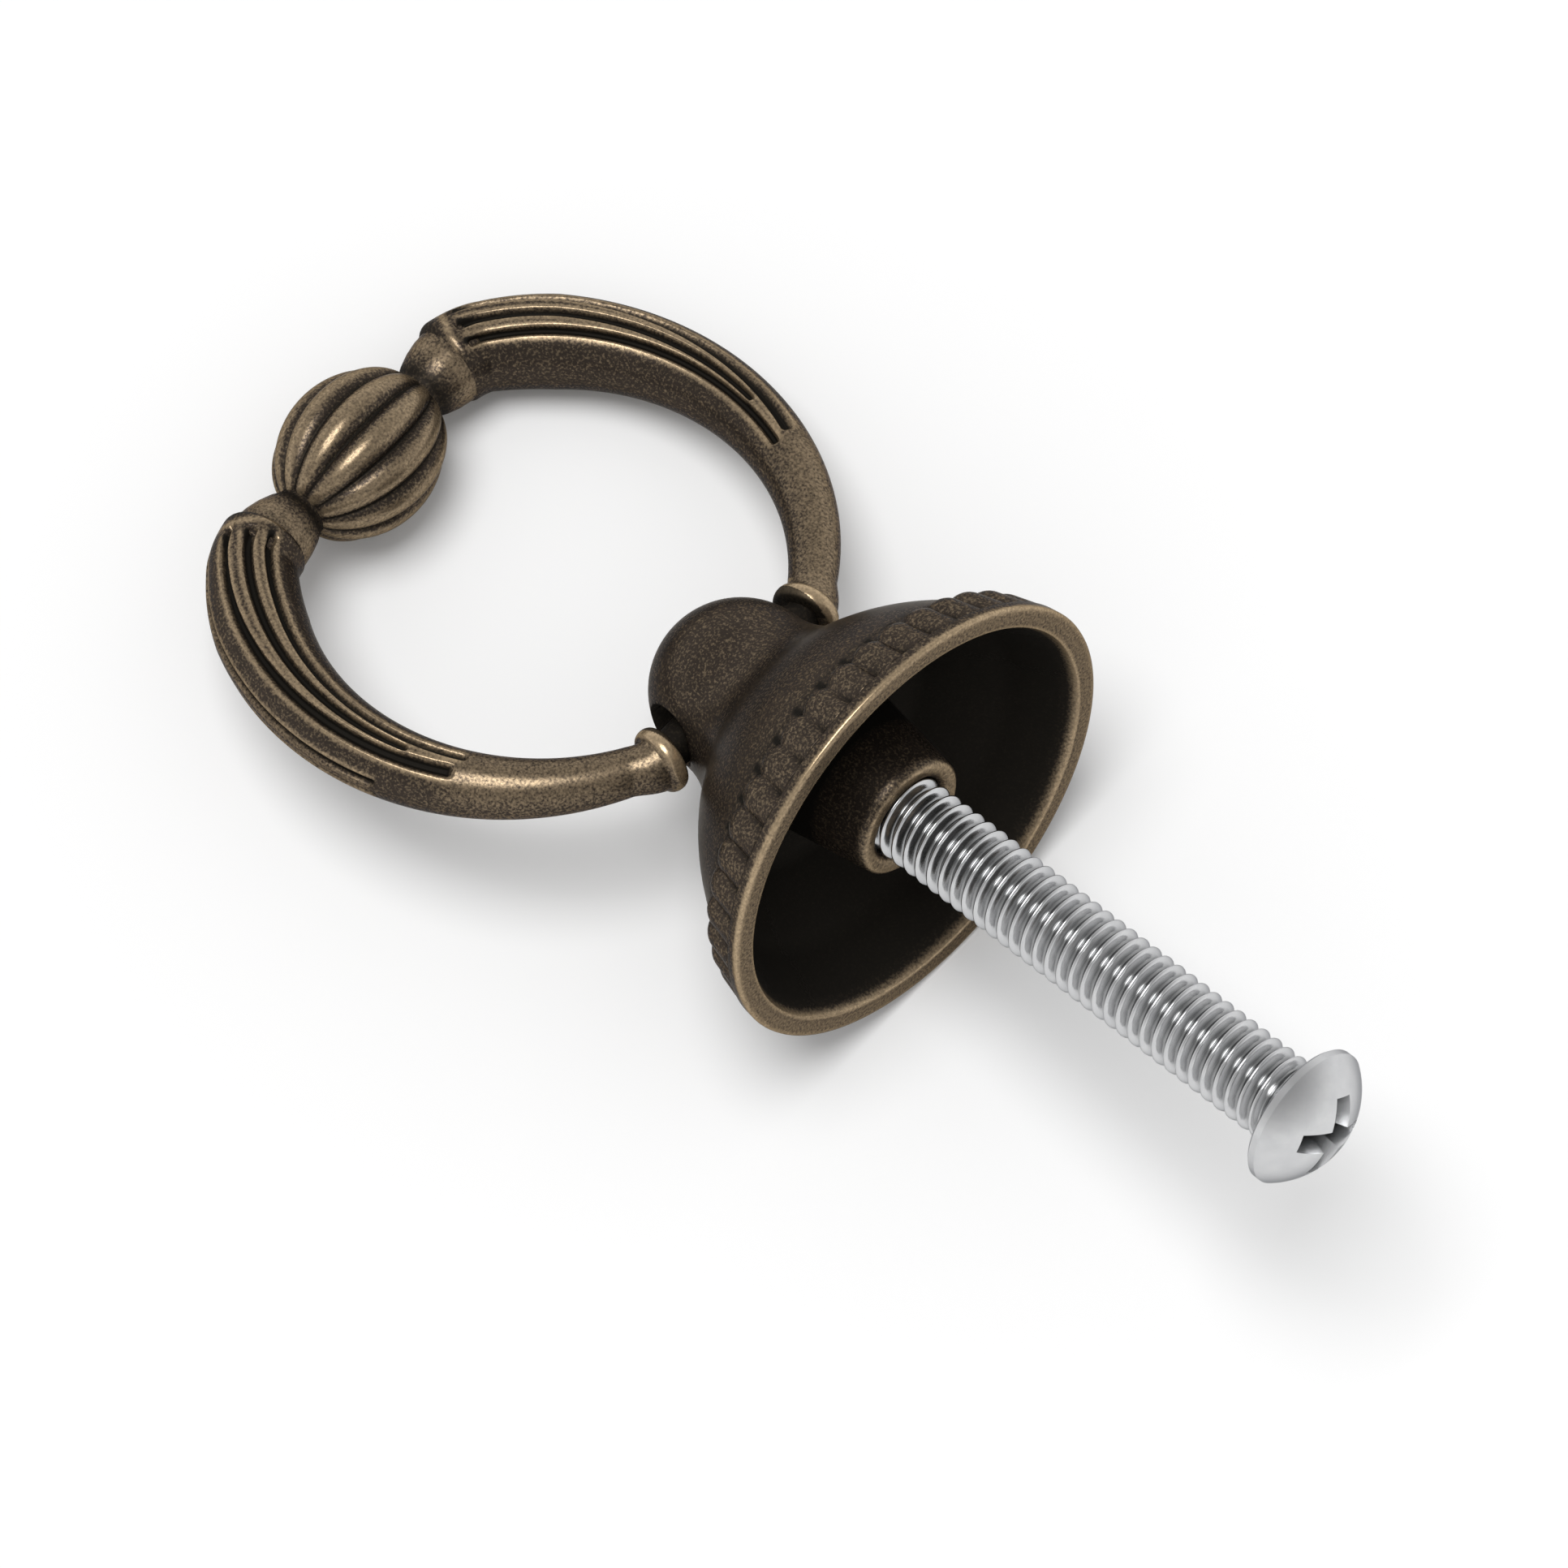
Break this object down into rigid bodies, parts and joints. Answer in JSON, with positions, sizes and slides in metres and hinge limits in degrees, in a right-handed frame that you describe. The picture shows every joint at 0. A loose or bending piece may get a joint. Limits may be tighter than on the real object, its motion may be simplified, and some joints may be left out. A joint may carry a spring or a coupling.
{
  "type": "ring pull handle",
  "caption": "Drooping ring pull with a fluted ball and reeded arms, hinged through the neck of a small gadrooned bell backplate, with a rear machine screw.",
  "frame": {"origin": "centre of the bell's rim face, where it seats on the furniture", "axes": "+Z out of the rim along the screw, into the furniture; the ring is on the -Z side; the neck's cross hole lies along X"},
  "size_m": [0.0282, 0.0218, 0.0604],
  "materials": {
    "bronzed_casting": "antique bronze plating on a zinc casting, satin, rubbed to brass on the high edges",
    "zinc_plated_screw": "bright zinc plating on steel"
  },
  "bodies": {
    "bell": {"bell_base": "bronzed_casting", "mounting_screw": "zinc_plated_screw"},
    "ring": {"pull_ring": "bronzed_casting"}
  },
  "joints": [
    {"name": "ring_swing", "type": "hinge", "parent": "bell", "child": "ring", "pos_m": [0, 0, -0.01124], "axis": [0.9931, 0, -0.1172], "range_deg": [-112, 108]}
  ]
}
